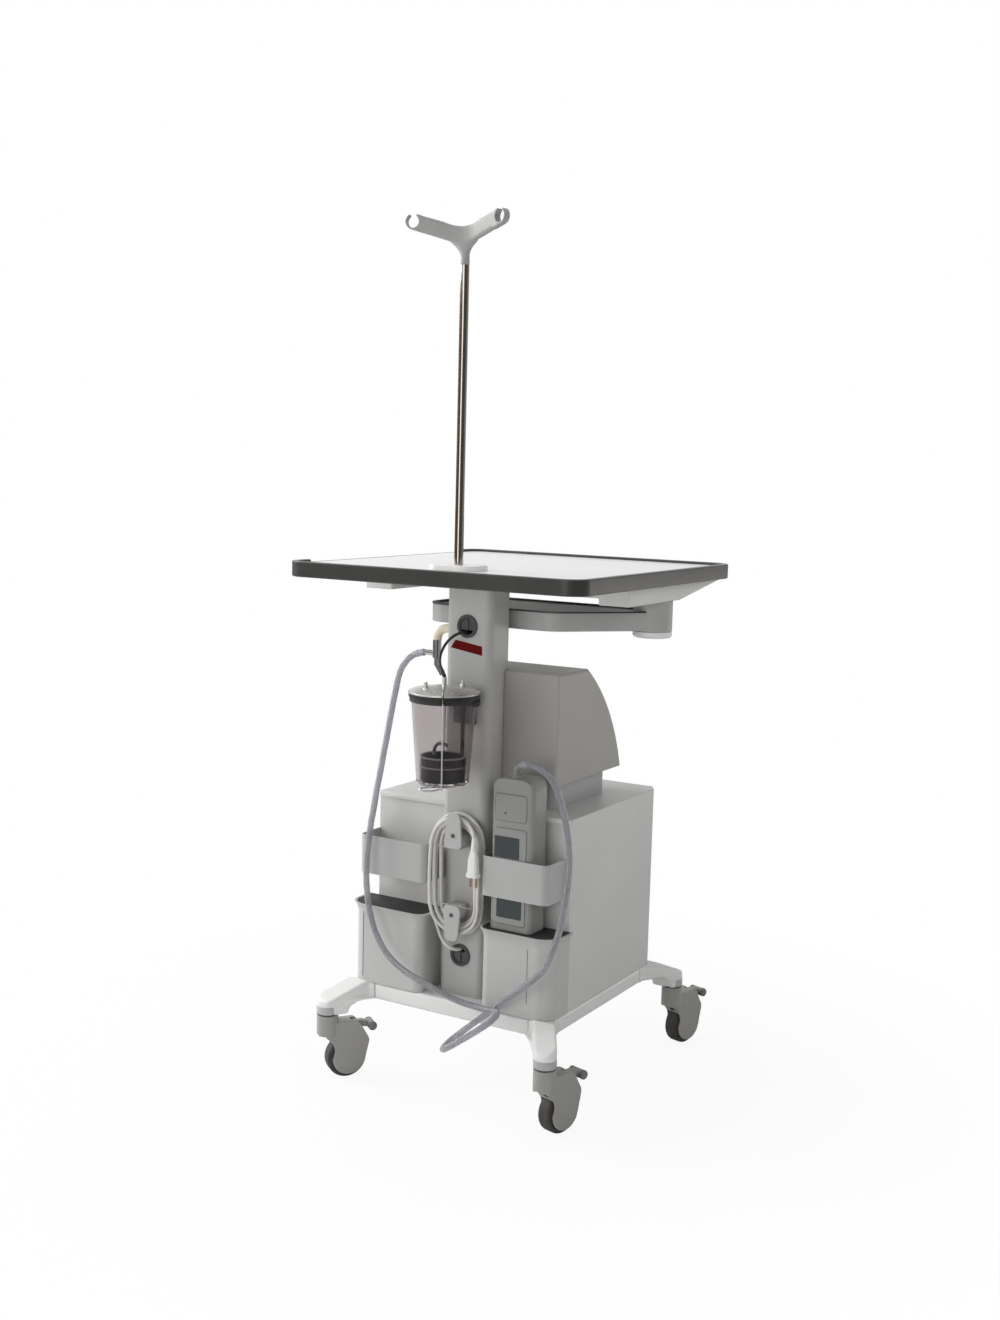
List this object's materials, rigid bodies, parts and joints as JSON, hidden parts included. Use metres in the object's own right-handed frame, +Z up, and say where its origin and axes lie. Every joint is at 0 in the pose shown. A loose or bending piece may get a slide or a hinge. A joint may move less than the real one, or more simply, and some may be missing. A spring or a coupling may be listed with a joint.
{
  "type": "mobile suction cart",
  "caption": "Wheeled clinic cart with a cabinet, column and table, a suction jar, a small vacuum pump with its clear hose, a swing-out tray and a hose stand with slotted rings.",
  "frame": {"origin": "on the floor under the middle of the cart's outline, cords left out", "axes": "+Z up, front of the cart towards -Y, the side with the pump towards +X"},
  "size_m": [0.6, 0.6953, 1.5654],
  "materials": {
    "body_white": "satin",
    "base_white": "satin",
    "column_grey": "painted satin",
    "hood_grey": "satin",
    "plinth_grey": "satin",
    "table_white": "smooth laminate",
    "edge_dark": "satin",
    "tray_grey": "satin",
    "white_plastic": "smooth",
    "steel": "brushed",
    "chrome": "polished",
    "head_grey": "satin",
    "caster_grey": "satin",
    "tyre": "matt",
    "dark_rubber": "matt",
    "jar_clear": "clear, slightly smoked",
    "cream_rubber": "smooth",
    "screen": "gloss",
    "hose_clear": "ribbed, translucent",
    "cable_black": "smooth",
    "lead_white": "smooth"
  },
  "bodies": {
    "cart": {"base_frame": "base_white", "cabinet_shell": "body_white", "rear_panel": "body_white", "step_left": "body_white", "step_right": "body_white", "step_mats": "dark_rubber", "strap_left": "body_white", "strap_right": "body_white", "column": "column_grey", "cable_grommets": "dark_rubber", "grommet_caps": "dark_rubber", "cord_hooks": "white_plastic", "console_plinth": "plinth_grey", "console_hood": "hood_grey", "table_panel": "table_white", "table_edge": "edge_dark", "table_frame": "body_white", "pole_foot": "white_plastic", "pole": "steel", "hose_head": "head_grey", "jar": "jar_clear", "jar_lid": "steel", "jar_seal": "dark_rubber", "jar_float": "dark_rubber", "jar_bail": "steel", "jar_bracket": "dark_rubber", "suction_elbow": "cream_rubber", "suction_tee": "chrome", "pump_body": "white_plastic", "pump_screens": "screen", "suction_hose": "hose_clear", "thin_cable": "cable_black", "mains_lead": "lead_white", "mains_hank": "lead_white", "mains_plug": "white_plastic", "leg_front_left": "base_white", "leg_front_right": "base_white", "leg_rear_left": "base_white", "leg_rear_right": "base_white", "tray_post": "steel"},
    "tray": {"tray_pan": "tray_grey", "tray_rim": "edge_dark", "tray_liner": "white_plastic", "tray_cap": "white_plastic"},
    "caster_front_left": {"caster_hood_front_left": "caster_grey"},
    "wheel_front_left": {"wheel_hub_front_left": "caster_grey", "wheel_tyre_front_left": "tyre"},
    "brake_front_left": {"brake_pedal_front_left": "caster_grey"},
    "caster_front_right": {"caster_hood_front_right": "caster_grey"},
    "wheel_front_right": {"wheel_hub_front_right": "caster_grey", "wheel_tyre_front_right": "tyre"},
    "brake_front_right": {"brake_pedal_front_right": "caster_grey"},
    "caster_rear_left": {"caster_hood_rear_left": "caster_grey"},
    "wheel_rear_left": {"wheel_hub_rear_left": "caster_grey", "wheel_tyre_rear_left": "tyre"},
    "brake_rear_left": {"brake_pedal_rear_left": "caster_grey"},
    "caster_rear_right": {"caster_hood_rear_right": "caster_grey"},
    "wheel_rear_right": {"wheel_hub_rear_right": "caster_grey", "wheel_tyre_rear_right": "tyre"},
    "brake_rear_right": {"brake_pedal_rear_right": "caster_grey"}
  },
  "joints": [
    {"name": "swivel_front_left", "type": "hinge", "parent": "cart", "child": "caster_front_left", "pos_m": [-0.232, -0.278, 0.137], "axis": [0, 0, 1], "continuous": true},
    {"name": "roll_front_left", "type": "hinge", "parent": "caster_front_left", "child": "wheel_front_left", "pos_m": [-0.21143, -0.24968, 0.0375], "axis": [-0.809, 0.5878, 0], "continuous": true},
    {"name": "pedal_front_left", "type": "hinge", "parent": "caster_front_left", "child": "brake_front_left", "pos_m": [-0.20144, -0.23593, 0.099], "axis": [-0.809, 0.5878, 0], "range_deg": [0, 10]},
    {"name": "swivel_front_right", "type": "hinge", "parent": "cart", "child": "caster_front_right", "pos_m": [0.232, -0.278, 0.137], "axis": [0, 0, 1], "continuous": true},
    {"name": "roll_front_right", "type": "hinge", "parent": "caster_front_right", "child": "wheel_front_right", "pos_m": [0.24106, -0.24419, 0.0375], "axis": [-0.9659, 0.2588, 0], "continuous": true},
    {"name": "pedal_front_right", "type": "hinge", "parent": "caster_front_right", "child": "brake_front_right", "pos_m": [0.24546, -0.22777, 0.099], "axis": [-0.9659, 0.2588, 0], "range_deg": [0, 10]},
    {"name": "swivel_rear_left", "type": "hinge", "parent": "cart", "child": "caster_rear_left", "pos_m": [-0.232, 0.238, 0.137], "axis": [0, 0, 1], "continuous": true},
    {"name": "roll_rear_left", "type": "hinge", "parent": "caster_rear_left", "child": "wheel_rear_left", "pos_m": [-0.22472, 0.27224, 0.0375], "axis": [-0.9781, 0.2079, 0], "continuous": true},
    {"name": "pedal_rear_left", "type": "hinge", "parent": "caster_rear_left", "child": "brake_rear_left", "pos_m": [-0.22119, 0.28886, 0.099], "axis": [-0.9781, 0.2079, 0], "range_deg": [0, 10]},
    {"name": "swivel_rear_right", "type": "hinge", "parent": "cart", "child": "caster_rear_right", "pos_m": [0.232, 0.238, 0.137], "axis": [0, 0, 1], "continuous": true},
    {"name": "roll_rear_right", "type": "hinge", "parent": "caster_rear_right", "child": "wheel_rear_right", "pos_m": [0.24106, 0.27181, 0.0375], "axis": [-0.9659, 0.2588, 0], "continuous": true},
    {"name": "pedal_rear_right", "type": "hinge", "parent": "caster_rear_right", "child": "brake_rear_right", "pos_m": [0.24546, 0.28823, 0.099], "axis": [-0.9659, 0.2588, 0], "range_deg": [0, 10]},
    {"name": "tray_swing", "type": "hinge", "parent": "cart", "child": "tray", "pos_m": [0.242, 0.064, 0.877], "axis": [0, 0, 1], "range_deg": [-90, 0]}
  ]
}
